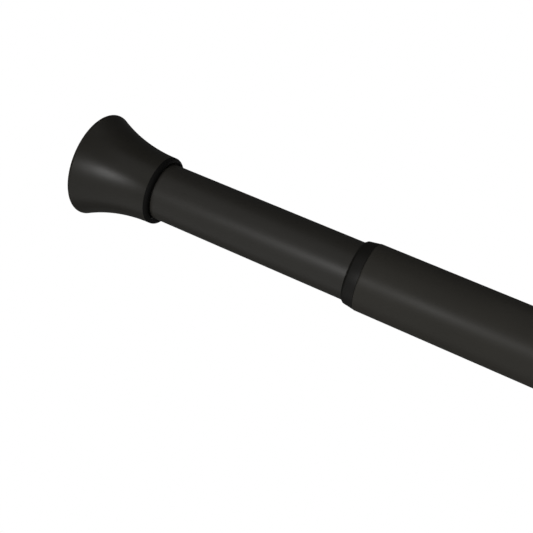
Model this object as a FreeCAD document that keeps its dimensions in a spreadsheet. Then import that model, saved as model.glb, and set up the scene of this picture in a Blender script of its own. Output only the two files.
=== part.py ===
import FreeCAD, Part
import math
import os
import re
import Sketcher

# Spring tension rod for a curtain, in millimetres, lying along X with +Z up.
# The origin is the middle of the outer tube's wall pad. A screw held by a spring-loaded follower
# stands in the outer tube, and a nut crimped in the inner tube rides on it: twisting the inner tube
# makes the rod longer or shorter, and the spring then holds both pads against the walls.

# Driving dimensions: name, value and what it measures.
SIZES = (
    ("outer_tube_radius", 12.7, "outside of the outer tube"),
    ("inner_tube_radius", 11.0, "outside of the inner tube"),
    ("tube_wall", 0.8, "sheet thickness of both tubes"),
    ("outer_tube_length", 345.0, "outer tube, end to end"),
    ("inner_tube_length", 280.0, "inner tube, end to end"),
    ("bare_inner_length", 79.7, "inner tube in view between collar and cap"),
    ("cap_length", 31.5, "end cap from rim to neck"),
    ("rim_radius", 20.2, "end cap at its widest, behind the lip"),
    ("rim_face_radius", 19.3, "outer edge of the flat rim face"),
    ("lip_length", 1.5, "rim face to widest circle"),
    ("lip_rounding", 1.2, "rounding of the lip"),
    ("opening_radius", 18.0, "opening that takes the wall pad"),
    ("ledge_radius", 16.9, "inner edge of the ledge under the pad"),
    ("outer_neck_radius", 15.0, "outer cap's neck"),
    ("inner_neck_radius", 13.35, "inner cap's neck"),
    ("neck_rounding", 1.4, "rounding of the neck's end"),
    ("skin_wall", 1.8, "moulded wall of the flare"),
    ("sleeve_wall", 1.6, "moulded wall of the tube socket"),
    ("cavity_depth", 14.0, "rim to the end of the cored-out space"),
    ("socket_floor", 13.0, "rim to the tube's end"),
    ("bulkhead_wall", 3.0, "floor that the cap screw goes through"),
    ("rib_count", 6.0, "ribs between flare and socket"),
    ("rib_wall", 1.4, "thickness of a rib"),
    ("rib_bite", 0.3, "rib sunk in the walls beside it"),
    ("pad_thickness", 2.8, "wall pad"),
    ("pad_proud", 0.8, "pad in front of the rim"),
    ("pad_gap", 0.1, "pad to the opening's wall"),
    ("pad_rounding", 0.6, "rounding of the pad's edge"),
    ("pad_groove_pitch", 4.0, "step between the grip grooves"),
    ("pad_groove_width", 1.2, "width of a grip groove"),
    ("pad_groove_depth", 0.6, "depth of a grip groove"),
    ("skirt_depth", 1.0, "locating skirt behind the pad"),
    ("skirt_wall", 1.1, "thickness of the skirt"),
    ("press_gap", 0.05, "gap of parts fixed to each other"),
    ("turn_gap", 0.3, "gap of parts that turn or slide"),
    ("glide_gap", 0.15, "gap of the collar round the inner tube"),
    ("collar_length", 5.0, "collar in front of the outer tube"),
    ("collar_back_radius", 12.6, "collar against the outer tube"),
    ("collar_front_radius", 11.9, "collar where its front is rounded"),
    ("collar_rounding", 0.8, "rounding of the collar's front"),
    ("collar_insert", 18.0, "collar's sleeve in the outer tube"),
    ("finger_cut_count", 6.0, "slits that make the sleeve's fingers"),
    ("finger_cut_width", 1.6, "width of a slit"),
    ("finger_cut_length", 13.0, "length of a slit"),
    ("punch_radius", 2.4, "ball that presses a dimple"),
    ("crimp_depth", 0.8, "dimple that holds a plug"),
    ("crimp_count", 3.0, "dimples round a plug"),
    ("crimp_inset", 10.0, "tube end to the dimples"),
    ("crimp_groove_width", 6.0, "groove that the dimples sit in"),
    ("key_depth", 1.4, "dimple that guides the follower"),
    ("key_count", 2.0, "guide dimples"),
    ("key_inset", 10.0, "follower's front to the guide dimples"),
    ("plug_length", 19.2, "outer end plug up to the spring"),
    ("spigot_length", 6.0, "spigots that centre the spring"),
    ("inner_plug_length", 20.0, "inner end plug"),
    ("plug_hole_depth", 15.0, "screw hole in both end plugs"),
    ("edge_chamfer", 0.8, "chamfers on plugs and screw"),
    ("screw_radius", 1.5, "cap screw's shank"),
    ("screw_length", 15.5, "cap screw under its head"),
    ("screw_hole_gap", 0.4, "cap screw to the hole in the cap"),
    ("head_radius", 4.2, "heads of cap screw and swivel bolt"),
    ("head_height", 3.2, "heads of cap screw and swivel bolt"),
    ("recess_width", 1.1, "arm of the cross recess"),
    ("recess_span", 4.6, "length of the cross recess"),
    ("recess_depth", 1.6, "depth of the cross recess"),
    ("washer_radius", 6.5, "washers behind the bulkheads"),
    ("washer_wall", 1.2, "thickness of the washers"),
    ("shoulder_radius", 2.5, "swivel bolt's shoulder"),
    ("bolt_radius", 1.9, "swivel bolt's threaded end"),
    ("bolt_length", 12.0, "swivel bolt's threaded end"),
    ("spring_radius", 10.0, "outside of the spring"),
    ("wire_radius", 0.9, "spring wire"),
    ("spring_length", 52.0, "spring as fitted"),
    ("ground_inset", 0.18, "ground face to the middle of the end coil's wire"),
    ("coil_count", 5.0, "working coils, a whole number"),
    ("coil_gap", 0.1, "gap between closed coils"),
    ("follower_length", 38.0, "follower behind the spring"),
    ("follower_bore", 4.0, "follower's bore in front"),
    ("shank_inset", 14.0, "follower's front to the screw's end"),
    ("press_travel", 20.0, "way that the spring can give"),
    ("pin_radius", 1.5, "cross pin"),
    ("pin_inset", 1.2, "pin's end below the follower's skin"),
    ("pin_station", 25.0, "follower's front to the cross pin"),
    ("shank_radius", 5.0, "drive screw in the follower"),
    ("thread_root_radius", 6.0, "drive screw between its threads"),
    ("thread_crest_radius", 7.6, "drive screw over its threads"),
    ("thread_pitch", 10.0, "advance of one turn"),
    ("thread_foot", 5.0, "width of the thread at its root"),
    ("thread_crest", 2.6, "width of the thread at its crest"),
    ("thread_runout", 10.0, "bare core before the thread"),
    ("thread_end_gap", 6.0, "bare core behind the thread"),
    ("thread_clearance", 0.3, "screw to nut all round"),
    ("core_length", 162.0, "threaded core with its run-outs"),
    ("journal_radius", 4.0, "screw's end under the stop washer"),
    ("journal_length", 5.0, "screw's end past the core"),
    ("stop_radius", 9.6, "stop washer"),
    ("clip_groove_radius", 3.2, "groove of the retaining clip"),
    ("clip_radius", 6.4, "retaining clip"),
    ("clip_wall", 0.9, "thickness of the clip"),
    ("clip_mouth", 5.4, "opening of the clip"),
    ("nut_length", 24.0, "drive nut in the inner tube"),
    ("nut_flange", 2.5, "drive nut's guide flange"),
)
NAMES = {name for name, value, meaning in SIZES}
WIRE_SIDES = 8
PAD_GROOVES = 3

doc = FreeCAD.newDocument("spring_tension_rod")
sheet = doc.addObject("Spreadsheet::Sheet", "Sizes")
for row, (name, value, meaning) in enumerate(SIZES, start=1):
    sheet.set("A%d" % row, meaning)
    sheet.set("B%d" % row, str(value))
    sheet.setAlias("B%d" % row, name)
doc.recompute()


def bound(formula):
    """Turn a formula in the sheet's names into an expression that reads the sheet."""
    return re.sub(r"[a-z_]+", lambda word: "Sizes." * (word.group() in NAMES) + word.group(), formula)


def worth(formula):
    """Return what a formula comes to with the sheet's present values."""
    return float(sheet.evalExpression(bound(formula)))


# Stations along the rod.
OUTER_TUBE_START = "(pad_proud + socket_floor)"
SPRING_START = "(%s + plug_length)" % OUTER_TUBE_START
FOLLOWER_START = "(%s + spring_length)" % SPRING_START
SCREW_START = "(%s + shank_inset)" % FOLLOWER_START
SHANK_LENGTH = "(follower_length - shank_inset)"
THREAD_START = "(%s + follower_length + thread_runout)" % FOLLOWER_START
COLLAR_START = "(%s + outer_tube_length)" % OUTER_TUBE_START
INNER_RIM = "(%s + collar_length + bare_inner_length + cap_length)" % COLLAR_START
INNER_TUBE_END = "(%s - socket_floor)" % INNER_RIM
NUT_START = "(%s - inner_tube_length - nut_flange)" % INNER_TUBE_END
OUTER_WASHER_START = "(%s - bulkhead_wall - washer_wall)" % OUTER_TUBE_START
SWIVEL_WASHER_START = "(%s + turn_gap + bulkhead_wall + turn_gap)" % INNER_TUBE_END
STOP_START = "(%s + follower_length + core_length)" % FOLLOWER_START
JOURNAL_GROOVE = "(washer_wall + press_gap)"

# Radii that follow from the fits.
OUTER_BORE = "(outer_tube_radius - tube_wall)"
INNER_BORE = "(inner_tube_radius - tube_wall)"
SPIGOT_RADIUS = "(spring_radius - 2 * wire_radius - turn_gap)"
FOLLOWER_RADIUS = "(%s - turn_gap)" % OUTER_BORE


def datum(body, role):
    """Return the origin plane or axis of a body that has this role."""
    return [feature for feature in body.Origin.OriginFeatures if feature.Role == role][0]


def new_body(label, station="0", facing_back=False):
    """Start a sub-part whose own x = 0 stands at a station; facing_back turns it to look along -X."""
    body = doc.addObject("PartDesign::Body", label)
    if facing_back:
        body.Placement.Rotation = FreeCAD.Rotation(FreeCAD.Vector(0, 0, 1), 180)
    body.setExpression("Placement.Base.x", bound(station))
    return body


def corner(along, out):
    """Outline corner that a straight edge leaves."""
    return (along, out, "", 1)


def bulge(along, out, radius):
    """Outline corner that a rounded-out edge leaves."""
    return (along, out, radius, 1)


def hollow(along, out, radius):
    """Outline corner that a hollow edge leaves."""
    return (along, out, radius, -1)


def arc_between(start, end, radius, side):
    """Arc whose centre is to the right of its way for side 1, and to the left for side -1."""
    chord = end - start
    rise = math.sqrt(radius ** 2 - (chord.Length / 2) ** 2)
    right = FreeCAD.Vector(chord.y, -chord.x, 0).normalize()
    centre = (start + end) * 0.5 + right * (rise * side)
    circle = Part.Circle(centre, FreeCAD.Vector(0, 0, 1), radius)
    first, last = (end, start) if side > 0 else (start, end)
    angles = [math.atan2(point.y - centre.y, point.x - centre.x) for point in (first, last)]
    return Part.ArcOfCircle(circle, angles[0], angles[1])


def outline(body, name, corners, plane="XZ_Plane"):
    """Sketch a closed outline, its corners listed clockwise, with every corner bound to the sheet."""
    sketch = body.newObject("Sketcher::SketchObject", name)
    sketch.AttachmentSupport = [(datum(body, plane), "")]
    sketch.MapMode = "FlatFace"
    points = [FreeCAD.Vector(worth(along), worth(out), 0) for along, out, radius, side in corners]
    ends = []
    for index, (along, out, radius, side) in enumerate(corners):
        start, end = points[index], points[(index + 1) % len(points)]
        if radius:
            edge = sketch.addGeometry(arc_between(start, end, worth(radius), side))
            tie(sketch, ("Radius", edge), radius)
            ends.append((edge, 2, 1) if side > 0 else (edge, 1, 2))
        else:
            ends.append((sketch.addGeometry(Part.LineSegment(start, end)), 1, 2))
    for index, (along, out, radius, side) in enumerate(corners):
        edge, first, last = ends[index]
        after, after_first, after_last = ends[(index + 1) % len(ends)]
        sketch.addConstraint(Sketcher.Constraint("Coincident", edge, last, after, after_first))
        tie(sketch, ("DistanceX", -1, 1, edge, first), along)
        tie(sketch, ("DistanceY", -1, 1, edge, first), out)
    return sketch


def tie(sketch, target, formula):
    """Give a sketch one dimension and bind it to the sheet."""
    index = sketch.addConstraint(Sketcher.Constraint(*target, worth(formula)))
    sketch.setExpression("Constraints[%d]" % index, bound(formula))


def turned(body, name, corners):
    """Turn an outline of (along, out) corners round the rod's axis."""
    sketch = outline(body, name + "_outline", corners)
    feature = body.newObject("PartDesign::Revolution", name)
    feature.Profile = sketch
    feature.ReferenceAxis = (sketch, ["H_Axis"])
    feature.Angle = 360
    return feature


def place(body, feature, plane, offsets):
    """Set a primitive on an origin plane, moved by formulas for its x, y and z."""
    feature.AttachmentSupport = [(datum(body, plane), "")]
    feature.MapMode = "FlatFace"
    for letter, formula in zip("xyz", offsets):
        feature.setExpression("AttachmentOffset.Base." + letter, bound(formula))
    return feature


def box_cut(body, name, start, size):
    """Cut a box whose lowest corner and whose size are given along X, Y and Z."""
    feature = body.newObject("PartDesign::SubtractiveBox", name)
    for side, formula in zip(("Length", "Width", "Height"), size):
        feature.setExpression(side, bound(formula))
    return place(body, feature, "XY_Plane", start)


def repeat_round(body, name, features, count, angle=360):
    """Repeat features round the rod's axis."""
    pattern = body.newObject("PartDesign::PolarPattern", name)
    pattern.Originals = features
    pattern.Axis = (datum(body, "X_Axis"), [""])
    pattern.Angle = angle
    pattern.setExpression("Occurrences", bound(count))
    body.Tip = pattern
    return pattern


def helix(body, kind, name, corners, pitch, turns):
    """Carry an outline along a right-hand helix round the rod's axis."""
    feature = body.newObject("PartDesign::%sHelix" % kind, name)
    feature.Profile = outline(body, name + "_section", corners)
    feature.ReferenceAxis = (datum(body, "X_Axis"), [""])
    feature.Mode = "pitch-turns-angle"
    feature.LeftHanded = False
    feature.setExpression("Pitch", bound(pitch))
    feature.setExpression("Turns", bound(turns))
    return feature


def tube(body, radius, length):
    """Rolled tube, its own x = 0 at one end."""
    bore = "(%s - tube_wall)" % radius
    turned(body, "wall", (
        corner("0", bore),
        corner("0", radius),
        corner(length, radius),
        corner(length, bore),
    ))


def dimples(body, name, station, radius, depth, count):
    """Press round dimples into a tube: a bump inside and a dent of even thickness outside."""
    lift = "(%s + punch_radius - %s)" % (radius, depth)
    bump = body.newObject("PartDesign::AdditiveSphere", name + "_bump")
    bump.setExpression("Radius", bound("punch_radius + tube_wall"))
    bump.Angle1 = -90
    height = "(punch_radius - %s + tube_wall / 2)" % depth
    bump.setExpression("Angle2", bound("asin(-%s / (punch_radius + tube_wall))" % height))
    place(body, bump, "XY_Plane", (station, "0", lift))
    dent = body.newObject("PartDesign::SubtractiveSphere", name + "_dent")
    dent.setExpression("Radius", bound("punch_radius"))
    place(body, dent, "XY_Plane", (station, "0", lift))
    repeat_round(body, name + "_ring", [bump, dent], count)


def make_outer_tube():
    body = new_body("outer_tube", OUTER_TUBE_START)
    tube(body, "outer_tube_radius", "outer_tube_length")
    dimples(body, "crimp", "crimp_inset", "outer_tube_radius", "crimp_depth", "crimp_count")
    station = "(plug_length + spring_length + key_inset)"
    dimples(body, "key", station, "outer_tube_radius", "key_depth", "key_count")
    return body


def make_inner_tube():
    body = new_body("inner_tube", "(%s - inner_tube_length)" % INNER_TUBE_END)
    tube(body, "inner_tube_radius", "inner_tube_length")
    dimples(body, "nut_crimp", "crimp_inset", "inner_tube_radius", "crimp_depth", "crimp_count")
    station = "(inner_tube_length - crimp_inset)"
    dimples(body, "plug_crimp", station, "inner_tube_radius", "crimp_depth", "crimp_count")
    return body


def make_collar():
    """Collar that hides the outer tube's cut edge and guides the inner tube with sprung fingers."""
    body = new_body("tube_collar", COLLAR_START)
    bore = "(inner_tube_radius + glide_gap)"
    sleeve = "(%s - press_gap)" % OUTER_BORE
    turned(body, "collar", (
        corner("-collar_insert", bore),
        corner("-collar_insert", sleeve),
        corner("0", sleeve),
        corner("0", "collar_back_radius"),
        bulge("collar_length - collar_rounding", "collar_front_radius", "collar_rounding"),
        corner("collar_length", "collar_front_radius - collar_rounding * 3 / 4"),
        corner("collar_length", bore),
    ))
    cut = box_cut(
        body,
        "finger_cut",
        ("-collar_insert", "-finger_cut_width / 2", "0"),
        ("finger_cut_length", "finger_cut_width", "outer_tube_radius"),
    )
    repeat_round(body, "finger_cuts", [cut], "finger_cut_count")
    return body


def make_cap(label, station, facing_back, tube_radius, gap, neck, hole, floor_gap):
    """Moulded end cap: flare, tube socket and bulkhead, cored out and ribbed behind the wall pad."""
    body = new_body(label, station, facing_back)
    bore = "(%s + %s)" % (tube_radius, gap)
    sleeve = "(%s + sleeve_wall)" % bore
    flare_end = "(cap_length - neck_rounding)"
    flare_run = "(%s - lip_length)" % flare_end
    flare_rise = "(rim_radius - %s)" % neck
    flare = "((pow(%s; 2) + pow(%s; 2)) / (2 * %s))" % (flare_run, flare_rise, flare_rise)
    skin_at_end = "(%s + %s - sqrt(pow(%s; 2) - pow(%s - cavity_depth; 2)) - skin_wall)" % (
        neck, flare, flare, flare_end)
    ledge = "(pad_thickness - pad_proud)"
    floor = "(socket_floor - %s)" % floor_gap
    front = "(socket_floor - %s - bulkhead_wall)" % floor_gap
    turned(body, "shell", (
        corner("0", "opening_radius"),
        bulge("0", "rim_face_radius", "lip_rounding"),
        hollow("lip_length", "rim_radius", flare),
        bulge(flare_end, neck, "neck_rounding"),
        corner("cap_length", "(%s - neck_rounding)" % neck),
        corner("cap_length", bore),
        corner(floor, bore),
        corner(floor, hole),
        corner(front, hole),
        corner(front, bore),
        corner(ledge, bore),
        corner(ledge, sleeve),
        corner("cavity_depth", sleeve),
        corner("cavity_depth", skin_at_end),
        corner(ledge, "ledge_radius"),
        corner(ledge, "opening_radius"),
    ))
    rib_start = "(%s + skirt_depth + turn_gap)" % ledge
    slope = "((ledge_radius - %s) / (cavity_depth - %s))" % (skin_at_end, ledge)
    rib_top = "(ledge_radius - %s * (skirt_depth + turn_gap) + rib_bite)" % slope
    rib = body.newObject("PartDesign::Pad", "rib")
    rib.Profile = outline(body, "rib_outline", (
        corner(rib_start, "(%s - rib_bite)" % sleeve),
        corner(rib_start, rib_top),
        corner("(cavity_depth + rib_bite)", "(%s + rib_bite)" % skin_at_end),
        corner("(cavity_depth + rib_bite)", "(%s - rib_bite)" % sleeve),
    ))
    rib.SideType = "Symmetric"
    rib.setExpression("Length", bound("rib_wall"))
    repeat_round(body, "ribs", [rib], "rib_count")
    return body


def make_pad(label, station, facing_back):
    """Rubber wall pad: a flat middle, round grip grooves and a skirt that centres it in the cap."""
    body = new_body(label, station, facing_back)
    radius = "(opening_radius - pad_gap)"
    skirt = "(ledge_radius - turn_gap)"
    corners = [corner("0", "0")]
    for groove in range(1, PAD_GROOVES + 1):
        inside = "(%d * pad_groove_pitch - pad_groove_width / 2)" % groove
        outside = "(%d * pad_groove_pitch + pad_groove_width / 2)" % groove
        corners += [
            corner("0", inside),
            corner("pad_groove_depth", inside),
            corner("pad_groove_depth", outside),
            corner("0", outside),
        ]
    corners += [
        bulge("0", "(%s - pad_rounding)" % radius, "pad_rounding"),
        corner("pad_rounding", radius),
        corner("pad_thickness", radius),
        corner("pad_thickness", skirt),
        corner("(pad_thickness + skirt_depth)", skirt),
        corner("(pad_thickness + skirt_depth)", "(%s - skirt_wall)" % skirt),
        corner("pad_thickness", "(%s - skirt_wall)" % skirt),
        corner("pad_thickness", "0"),
    ]
    turned(body, "disc", corners)
    return body


def plug_side(radius, tube_bore, groove_middle):
    """Corners of the groove that the crimped dimples sit in."""
    floor = "(%s - crimp_depth - press_gap)" % tube_bore
    before = "(%s - crimp_groove_width / 2)" % groove_middle
    behind = "(%s + crimp_groove_width / 2)" % groove_middle
    return [
        corner(before, radius),
        corner(before, floor),
        corner(behind, floor),
        corner(behind, radius),
    ]


def make_outer_plug():
    """Plug crimped in the outer tube: the cap screw bites it and its spigot centres the spring."""
    body = new_body("outer_end_plug", OUTER_TUBE_START)
    radius = "(%s - press_gap)" % OUTER_BORE
    hole = "(screw_radius + press_gap)"
    spigot_end = "(plug_length + spigot_length)"
    turned(body, "plug", [corner("0", hole), corner("0", radius)]
           + plug_side(radius, OUTER_BORE, "crimp_inset")
           + [
               corner("plug_length", radius),
               corner("plug_length", SPIGOT_RADIUS),
               corner("(%s - edge_chamfer)" % spigot_end, SPIGOT_RADIUS),
               corner(spigot_end, "(%s - edge_chamfer)" % SPIGOT_RADIUS),
               corner(spigot_end, "0"),
               corner("plug_hole_depth", "0"),
               corner("plug_hole_depth", hole),
           ])
    return body


def make_inner_plug():
    """Plug crimped in the inner tube that holds the swivel bolt."""
    body = new_body("inner_end_plug", INNER_TUBE_END, facing_back=True)
    radius = "(%s - press_gap)" % INNER_BORE
    hole = "(bolt_radius + press_gap)"
    turned(body, "plug", [corner("0", hole), corner("0", radius)]
           + plug_side(radius, INNER_BORE, "crimp_inset")
           + [
               corner("(inner_plug_length - edge_chamfer)", radius),
               corner("inner_plug_length", "(%s - edge_chamfer)" % radius),
               corner("inner_plug_length", "0"),
               corner("plug_hole_depth", "0"),
               corner("plug_hole_depth", hole),
           ])
    return body


def cut_cross_recess(body):
    """Cut the cross recess into a screw head that reaches from x = -head_height to 0."""
    arm = box_cut(
        body,
        "recess_arm",
        ("-head_height", "-recess_span / 2", "-recess_width / 2"),
        ("recess_depth", "recess_span", "recess_width"),
    )
    repeat_round(body, "recess", [arm], "2", angle=90)


def head_corners():
    """Corners of a domed screw head, from its middle to the edge of its underside."""
    return [
        corner("-head_height", "0"),
        bulge("-head_height", "(head_radius / 2)", "head_radius"),
        corner("-(head_height / 2)", "head_radius"),
        corner("0", "head_radius"),
    ]


def make_cap_screw():
    """Self-tapping screw that holds the outer cap to its plug."""
    body = new_body("outer_cap_screw", OUTER_WASHER_START)
    turned(body, "screw", head_corners() + [
        corner("0", "screw_radius"),
        corner("screw_length", "screw_radius"),
        corner("(screw_length + screw_radius)", "0"),
    ])
    cut_cross_recess(body)
    return body


def make_swivel_bolt():
    """Shoulder bolt that the inner cap turns on."""
    body = new_body("swivel_bolt", "(%s + washer_wall)" % SWIVEL_WASHER_START, facing_back=True)
    shoulder = "(washer_wall + bulkhead_wall + 2 * turn_gap)"
    turned(body, "bolt", head_corners() + [
        corner("0", "shoulder_radius"),
        corner(shoulder, "shoulder_radius"),
        corner(shoulder, "bolt_radius"),
        corner("(%s + bolt_length - edge_chamfer)" % shoulder, "bolt_radius"),
        corner("(%s + bolt_length)" % shoulder, "(bolt_radius - edge_chamfer)"),
        corner("(%s + bolt_length)" % shoulder, "0"),
    ])
    cut_cross_recess(body)
    return body


def make_washer(label, station, hole, radius):
    """Flat washer whose own x = 0 is its first face."""
    body = new_body(label, station)
    turned(body, "ring", (
        corner("0", hole),
        corner("0", radius),
        corner("washer_wall", radius),
        corner("washer_wall", hole),
    ))
    return body


def wire_section(station):
    """Flat-sided section of the spring wire, its middle at a station on the coil's radius."""
    middle = "(spring_radius - wire_radius)"
    turns = ["(-360 * %d / %d)" % (side, WIRE_SIDES) for side in range(WIRE_SIDES)]
    return [
        corner(
            "(%s + wire_radius * cos(%s))" % (station, turn),
            "(%s + wire_radius * sin(%s))" % (middle, turn),
        )
        for turn in turns
    ]


def make_spring():
    """Compression spring: a closed coil at each end, ground flat, and open coils between them."""
    body = new_body("tension_spring", SPRING_START)
    closed_pitch = "(2 * wire_radius + coil_gap)"
    open_start = "(ground_inset + %s)" % closed_pitch
    open_run = "(spring_length - 2 * %s)" % open_start
    open_end = "(%s + %s)" % (open_start, open_run)
    coils = "round(coil_count)"
    helix(body, "Additive", "first_coil", wire_section("ground_inset"), closed_pitch, "1")
    helix(body, "Additive", "open_coils", wire_section(open_start), "(%s / %s)" % (open_run, coils), coils)
    helix(body, "Additive", "last_coil", wire_section(open_end), closed_pitch, "1")
    ground = ("(2 * wire_radius)", "(2 * spring_radius)", "(2 * spring_radius)")
    box_cut(body, "first_face", ("(-2 * wire_radius)", "-spring_radius", "-spring_radius"), ground)
    box_cut(body, "last_face", ("spring_length", "-spring_radius", "-spring_radius"), ground)
    return body


def make_follower():
    """Plunger that carries the drive screw; its slots ride on the outer tube's guide dimples."""
    body = new_body("spring_follower", FOLLOWER_START)
    turned(body, "plunger", (
        corner("-spigot_length", "follower_bore"),
        corner("-spigot_length", "(%s - edge_chamfer)" % SPIGOT_RADIUS),
        corner("(edge_chamfer - spigot_length)", SPIGOT_RADIUS),
        corner("0", SPIGOT_RADIUS),
        corner("0", FOLLOWER_RADIUS),
        corner("follower_length", FOLLOWER_RADIUS),
        corner("follower_length", "(shank_radius + press_gap)"),
        corner("shank_inset", "(shank_radius + press_gap)"),
        corner("shank_inset", "follower_bore"),
    ))
    bump = "(punch_radius + tube_wall)"
    slot_floor = "(%s - key_depth - turn_gap)" % OUTER_BORE
    slot = box_cut(
        body,
        "slot",
        ("(key_inset - %s)" % bump, "-%s" % bump, slot_floor),
        ("(press_travel + 2 * %s)" % bump, "(2 * %s)" % bump, "outer_tube_radius"),
    )
    repeat_round(body, "slots", [slot], "key_count")
    cut_pin_hole(body, "pin_station")
    return body


def cut_pin_hole(body, station):
    """Bore the hole of the cross pin along Y."""
    hole = body.newObject("PartDesign::SubtractiveCylinder", "pin_hole")
    hole.setExpression("Radius", bound("pin_radius + press_gap"))
    hole.setExpression("Height", bound("2 * outer_tube_radius"))
    place(body, hole, "XZ_Plane", (station, "0", "-outer_tube_radius"))


def make_pin():
    """Cross pin, along Y, that locks the drive screw in the follower."""
    pin = doc.addObject("Part::Cylinder", "cross_pin")
    half = "(%s - pin_inset)" % FOLLOWER_RADIUS
    pin.setExpression("Radius", bound("pin_radius"))
    pin.setExpression("Height", bound("2 * %s" % half))
    pin.Placement.Rotation = FreeCAD.Rotation(FreeCAD.Vector(1, 0, 0), 90)
    pin.setExpression("Placement.Base.x", bound("%s + pin_station" % FOLLOWER_START))
    pin.setExpression("Placement.Base.y", bound(half))
    return pin


def make_drive_screw():
    """Coarse drive screw: shank in the follower, threaded core and a journal for the stop washer."""
    body = new_body("drive_screw", SCREW_START)
    core_end = "(%s + core_length)" % SHANK_LENGTH
    groove = "(%s + %s)" % (core_end, JOURNAL_GROOVE)
    groove_end = "(%s + clip_wall + 2 * press_gap)" % groove
    screw_end = "(%s + journal_length)" % core_end
    turned(body, "core", (
        corner("0", "0"),
        corner("0", "(shank_radius - edge_chamfer)"),
        corner("edge_chamfer", "shank_radius"),
        corner(SHANK_LENGTH, "shank_radius"),
        corner(SHANK_LENGTH, "thread_root_radius"),
        corner(core_end, "thread_root_radius"),
        corner(core_end, "journal_radius"),
        corner(groove, "journal_radius"),
        corner(groove, "clip_groove_radius"),
        corner(groove_end, "clip_groove_radius"),
        corner(groove_end, "journal_radius"),
        corner("(%s - edge_chamfer)" % screw_end, "journal_radius"),
        corner(screw_end, "(journal_radius - edge_chamfer)"),
        corner(screw_end, "0"),
    ))
    middle = "(%s + thread_runout)" % SHANK_LENGTH
    section = thread_section(middle, "thread_crest_radius", "0")
    turns = "((core_length - thread_runout - thread_end_gap) / thread_pitch)"
    helix(body, "Additive", "thread", section, "thread_pitch", turns)
    cut_pin_hole(body, "(pin_station - shank_inset)")
    return body


def thread_section(middle, crest_radius, clearance):
    """Trapezoid of the thread, its foot sunk below the root; a clearance makes it the nut's groove."""
    foot = "(thread_foot / 2 + %s)" % clearance
    crest = "(thread_crest / 2 + %s)" % clearance
    sunk = "(thread_root_radius - rib_bite)"
    return [
        corner("(%s - %s)" % (middle, foot), sunk),
        corner("(%s - %s)" % (middle, crest), crest_radius),
        corner("(%s + %s)" % (middle, crest), crest_radius),
        corner("(%s + %s)" % (middle, foot), sunk),
    ]


def make_drive_nut():
    """Nut crimped in the inner tube, with a flange that glides in the outer tube."""
    body = new_body("drive_nut", NUT_START)
    radius = "(%s - press_gap)" % INNER_BORE
    bore = "(thread_root_radius + thread_clearance)"
    end = "(nut_flange + nut_length)"
    turned(body, "nut", [
        corner("0", bore),
        corner("0", FOLLOWER_RADIUS),
        corner("nut_flange", FOLLOWER_RADIUS),
        corner("nut_flange", radius),
    ] + plug_side(radius, INNER_BORE, "(nut_flange + crimp_inset)") + [
        corner(end, radius),
        corner(end, bore),
    ])
    lead_in = "(%s - %s)" % (NUT_START, THREAD_START)
    middle = "(thread_pitch * floor(%s / thread_pitch) - %s)" % (lead_in, lead_in)
    turns = "(ceil((%s + thread_foot) / thread_pitch) + 1)" % end
    section = thread_section(middle, "(thread_crest_radius + thread_clearance)", "thread_clearance")
    helix(body, "Subtractive", "thread", section, "thread_pitch", turns)
    return body


def make_stop_clip():
    """Open retaining clip that keeps the stop washer on the screw's journal."""
    station = "(%s + %s + press_gap)" % (STOP_START, JOURNAL_GROOVE)
    body = new_body("stop_clip", station)
    hole = "(clip_groove_radius + press_gap)"
    turned(body, "ring", (
        corner("0", hole),
        corner("0", "clip_radius"),
        corner("clip_wall", "clip_radius"),
        corner("clip_wall", hole),
    ))
    box_cut(
        body,
        "mouth",
        ("0", "-clip_mouth / 2", "0"),
        ("clip_wall", "clip_mouth", "clip_radius"),
    )
    return body


parts = [
    make_outer_tube(),
    make_collar(),
    make_cap("outer_cap", "pad_proud", False, "outer_tube_radius", "press_gap",
             "outer_neck_radius", "(screw_radius + screw_hole_gap)", "0"),
    make_pad("outer_pad", "0", False),
    make_outer_plug(),
    make_cap_screw(),
    make_washer("outer_screw_washer", OUTER_WASHER_START, "(screw_radius + press_gap)", "washer_radius"),
    make_spring(),
    make_follower(),
    make_pin(),
    make_drive_screw(),
    make_washer("stop_washer", STOP_START, "(journal_radius + press_gap)", "stop_radius"),
    make_stop_clip(),
    make_cap("inner_cap", INNER_RIM, True, "inner_tube_radius", "turn_gap",
             "inner_neck_radius", "(shoulder_radius + turn_gap)", "turn_gap"),
    make_pad("inner_pad", "(%s + pad_proud)" % INNER_RIM, True),
    make_inner_tube(),
    make_inner_plug(),
    make_swivel_bolt(),
    make_washer("swivel_washer", SWIVEL_WASHER_START, "(shoulder_radius + press_gap)", "washer_radius"),
    make_drive_nut(),
]
doc.recompute()

failed = [item.Label for item in doc.Objects if {"Invalid", "Error"} & set(item.State)]
if failed:
    raise RuntimeError("not built: " + ", ".join(failed))
for part in parts:
    if part.Shape.isNull() or not part.Shape.isValid() or len(part.Shape.Solids) != 1:
        raise RuntimeError("not one sound solid: " + part.Label)
os.makedirs("parts", exist_ok=True)
for part in parts:
    part.Shape.exportStep("parts/%s.step" % part.Label)
    print(part.Label, round(part.Shape.Volume, 1), "mm3")
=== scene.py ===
import logging
import math
from abc import ABC, abstractmethod
from dataclasses import dataclass
from enum import Enum
from typing import Sequence

import bmesh
import bpy
import numpy as np
from mathutils import Matrix, Vector


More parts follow.
